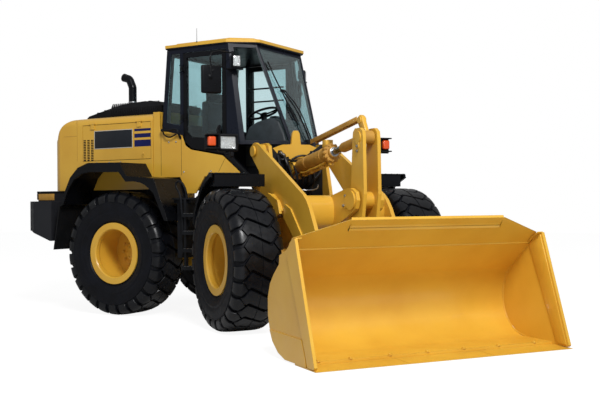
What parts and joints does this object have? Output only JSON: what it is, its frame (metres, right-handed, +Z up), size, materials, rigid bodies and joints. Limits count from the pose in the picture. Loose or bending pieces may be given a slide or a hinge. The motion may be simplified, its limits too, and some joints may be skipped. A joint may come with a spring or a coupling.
{
  "type": "articulated wheel loader",
  "caption": "Articulated wheel loader with glazed cab, Z-bar boom and bucket on the ground, front frame turned to its right, rear hood, counterweight and treaded tyres",
  "frame": {"origin": "middle of the machine's footprint as it stands here, at ground level", "axes": "+X forward along the rear frame, +Y to the machine's left, +Z up; the front frame is turned 34.3 degrees to the right about the articulation pin"},
  "size_m": [7.0905, 4.5126, 3.405],
  "materials": {
    "yellow_paint": "satin yellow enamel",
    "black_paint": "gloss black enamel",
    "dark_grey_paint": "dark grey cast counterweight enamel",
    "dark_plastic": "black moulded plastic",
    "cab_navy": "dark navy cab enamel",
    "cab_glass": "teal tinted safety glass",
    "tyre_rubber": "worn rubber",
    "rod_chrome": "ground chrome",
    "edge_steel": "wear steel",
    "seat_fabric": "woven seat cloth",
    "flap_rubber": "moulded rubber sheet",
    "lamp_plastic": "black lamp housing"
  },
  "bodies": {
    "chassis": {"rear_frame": "yellow_paint", "articulation_pins": "edge_steel", "rear_axle": "yellow_paint", "counterweight": "dark_grey_paint", "engine_block": "black_paint", "hood": "yellow_paint", "hood_cover": "dark_plastic", "exhaust_stack": "black_paint", "cab_frame": "cab_navy", "cab_glass": "cab_glass", "cab_roof": "yellow_paint", "cab_floor": "dark_plastic", "seat": "seat_fabric", "steering_column": "dark_plastic", "mirrors": "black_paint", "cab_fittings": "lamp_plastic", "side_panels": "yellow_paint", "ladders": "black_paint", "handrails": "black_paint", "rear_fenders": "black_paint", "mud_flaps": "flap_rubber"},
    "front_frame": {"front_frame": "yellow_paint", "front_axle": "yellow_paint", "front_fenders": "black_paint", "headlamps": "lamp_plastic"},
    "boom": {"boom": "yellow_paint"},
    "bucket_pins": {"bucket_pins": "edge_steel"},
    "crank_pin": {"crank_pin": "edge_steel"},
    "bell_crank": {"bell_crank": "yellow_paint"},
    "bucket": {"bucket": "yellow_paint", "cutting_edge": "edge_steel"},
    "link_pin": {"link_pin": "edge_steel"},
    "bucket_link": {"bucket_link": "yellow_paint"},
    "tilt_barrel": {"tilt_barrel": "yellow_paint"},
    "tilt_rod": {"tilt_rod": "rod_chrome"},
    "lift_barrels": {"lift_barrels": "yellow_paint"},
    "lift_rods": {"lift_rods": "rod_chrome"},
    "rear_grille": {"rear_grille": "dark_plastic"},
    "steer_barrel_left": {"steer_barrel_left": "yellow_paint"},
    "steer_rod_left": {"steer_rod_left": "rod_chrome"},
    "engine_door_left": {"engine_door_left": "yellow_paint"},
    "cab_door_left": {"cab_door_left": "black_paint", "cab_door_left_glass": "cab_glass"},
    "front_left_wheel": {"front_left_tyre": "tyre_rubber", "front_left_rim": "yellow_paint"},
    "rear_left_wheel": {"rear_left_tyre": "tyre_rubber", "rear_left_rim": "yellow_paint"},
    "steer_barrel_right": {"steer_barrel_right": "yellow_paint"},
    "steer_rod_right": {"steer_rod_right": "rod_chrome"},
    "engine_door_right": {"engine_door_right": "yellow_paint"},
    "cab_door_right": {"cab_door_right": "black_paint", "cab_door_right_glass": "cab_glass"},
    "front_right_wheel": {"front_right_tyre": "tyre_rubber", "front_right_rim": "yellow_paint"},
    "rear_right_wheel": {"rear_right_tyre": "tyre_rubber", "rear_right_rim": "yellow_paint"}
  },
  "joints": [
    {"name": "steer", "type": "hinge", "parent": "chassis", "child": "front_frame", "pos_m": [-0.435, 1.021, 0.85], "axis": [0, 0, 1], "range_deg": [-5.7, 74.3]},
    {"name": "front_left_wheel_spin", "type": "hinge", "parent": "front_frame", "child": "front_left_wheel", "pos_m": [1.28186, 1.01798, 0.738], "axis": [0.5635, 0.8261, 0], "continuous": true},
    {"name": "front_right_wheel_spin", "type": "hinge", "parent": "front_frame", "child": "front_right_wheel", "pos_m": [0.19426, -0.57639, 0.738], "axis": [0.5635, 0.8261, 0], "continuous": true},
    {"name": "rear_left_wheel_spin", "type": "hinge", "parent": "chassis", "child": "rear_left_wheel", "pos_m": [-1.855, 1.986, 0.738], "axis": [0, 1, 0], "continuous": true},
    {"name": "rear_right_wheel_spin", "type": "hinge", "parent": "chassis", "child": "rear_right_wheel", "pos_m": [-1.855, 0.056, 0.738], "axis": [0, 1, 0], "continuous": true},
    {"name": "boom_lift", "type": "hinge", "parent": "front_frame", "child": "boom", "pos_m": [0.19283, 0.59272, 1.905], "axis": [-0.5635, -0.8261, 0], "range_deg": [0, 82]},
    {"name": "bucket_level", "type": "hinge", "parent": "boom", "child": "bucket_pins", "pos_m": [1.87808, -0.55687, 0.29], "axis": [-0.5635, -0.8261, 0], "range_deg": [-82.01, 0.01]},
    {"name": "bucket_tilt", "type": "hinge", "parent": "bucket_pins", "child": "bucket", "pos_m": [1.87808, -0.55687, 0.29], "axis": [0.5635, 0.8261, 0], "range_deg": [-45, 45]},
    {"name": "crank_follow", "type": "hinge", "parent": "boom", "child": "crank_pin", "pos_m": [1.58894, -0.35964, 1.341], "axis": [-0.5635, -0.8261, 0], "range_deg": [-0.01, 27.23]},
    {"name": "crank_tilt", "type": "hinge", "parent": "crank_pin", "child": "bell_crank", "pos_m": [1.58894, -0.35964, 1.341], "axis": [-0.5635, -0.8261, 0], "range_deg": [-6.85, 6.85]},
    {"name": "link_follow", "type": "hinge", "parent": "bucket", "child": "link_pin", "pos_m": [1.9359, -0.59632, 0.6], "axis": [-0.5635, -0.8261, 0], "range_deg": [-0.01, 39.81]},
    {"name": "link_tilt", "type": "hinge", "parent": "link_pin", "child": "bucket_link", "pos_m": [1.9359, -0.59632, 0.6], "axis": [-0.5635, -0.8261, 0], "range_deg": [-38.91, 38.91]},
    {"name": "tilt_barrel_swing", "type": "hinge", "parent": "front_frame", "child": "tilt_barrel", "pos_m": [0.34153, 0.49129, 1.72], "axis": [-0.5635, -0.8261, 0], "range_deg": [-0.01, 80.58]},
    {"name": "tilt_rod_slide", "type": "slide", "parent": "tilt_barrel", "child": "tilt_rod", "axis": [0.8168, -0.5571, 0.15], "range_m": [-0.04835, 0.04835]},
    {"name": "lift_barrel_swing", "type": "hinge", "parent": "front_frame", "child": "lift_barrels", "pos_m": [-0.10456, 0.79559, 1.15], "axis": [-0.5635, -0.8261, 0], "range_deg": [-0.01, 45.17]},
    {"name": "lift_rod_slide", "type": "slide", "parent": "lift_barrels", "child": "lift_rods", "axis": [0.8245, -0.5624, 0.0621], "range_m": [-0.0005, 0.81068]},
    {"name": "steer_barrel_left_swing", "type": "hinge", "parent": "chassis", "child": "steer_barrel_left", "pos_m": [-1.135, 1.321, 0.85], "axis": [0, 0, 1], "range_deg": [-0.89, 10.99]},
    {"name": "steer_rod_left_slide", "type": "slide", "parent": "steer_barrel_left", "child": "steer_rod_left", "axis": [0.9919, -0.1272, 0], "range_m": [-0.35258, 0.02751]},
    {"name": "steer_barrel_right_swing", "type": "hinge", "parent": "chassis", "child": "steer_barrel_right", "pos_m": [-1.135, 0.721, 0.85], "axis": [0, 0, 1], "range_deg": [-0.54, 6.37]},
    {"name": "steer_rod_right_slide", "type": "slide", "parent": "steer_barrel_right", "child": "steer_rod_right", "axis": [1, -0.0025, 0], "range_m": [-0.02921, 0.37475]},
    {"name": "cab_door_left_hinge", "type": "hinge", "parent": "chassis", "child": "cab_door_left", "pos_m": [-1.161, 1.762, 2.5], "axis": [0, 0, 1], "range_deg": [0, 90]},
    {"name": "engine_door_left_hinge", "type": "hinge", "parent": "chassis", "child": "engine_door_left", "pos_m": [-2.185, 1.786, 2.338], "axis": [1, 0, 0], "range_deg": [0, 75]},
    {"name": "cab_door_right_hinge", "type": "hinge", "parent": "chassis", "child": "cab_door_right", "pos_m": [-1.161, 0.28, 2.5], "axis": [0, 0, 1], "range_deg": [-90, 0]},
    {"name": "engine_door_right_hinge", "type": "hinge", "parent": "chassis", "child": "engine_door_right", "pos_m": [-2.185, 0.256, 2.338], "axis": [1, 0, 0], "range_deg": [-75, 0]},
    {"name": "rear_grille_hinge", "type": "hinge", "parent": "chassis", "child": "rear_grille", "pos_m": [-3.371, 1.527, 1.84], "axis": [0, 0, 1], "range_deg": [-100, 0]}
  ],
  "couplings": [
    {"joint": "bucket_level", "follows": "boom_lift", "ratio": -1},
    {"joint": "crank_follow", "follows": "boom_lift", "ratio": 0.3315},
    {"joint": "crank_tilt", "follows": "bucket_tilt", "ratio": 0.1512},
    {"joint": "link_follow", "follows": "boom_lift", "ratio": 0.4849},
    {"joint": "link_tilt", "follows": "bucket_tilt", "ratio": 0.8635},
    {"joint": "tilt_barrel_swing", "follows": "boom_lift", "ratio": 0.9821},
    {"joint": "tilt_rod_slide", "follows": "bucket_tilt", "m_per_rad": -0.060928},
    {"joint": "lift_barrel_swing", "follows": "boom_lift", "ratio": 0.5503},
    {"joint": "lift_rod_slide", "follows": "boom_lift", "m_per_rad": 0.5661},
    {"joint": "steer_barrel_left_swing", "follows": "steer", "ratio": 0.1473},
    {"joint": "steer_rod_left_slide", "follows": "steer", "m_per_rad": -0.2715},
    {"joint": "steer_barrel_right_swing", "follows": "steer", "ratio": 0.0851},
    {"joint": "steer_rod_right_slide", "follows": "steer", "m_per_rad": 0.2886}
  ]
}
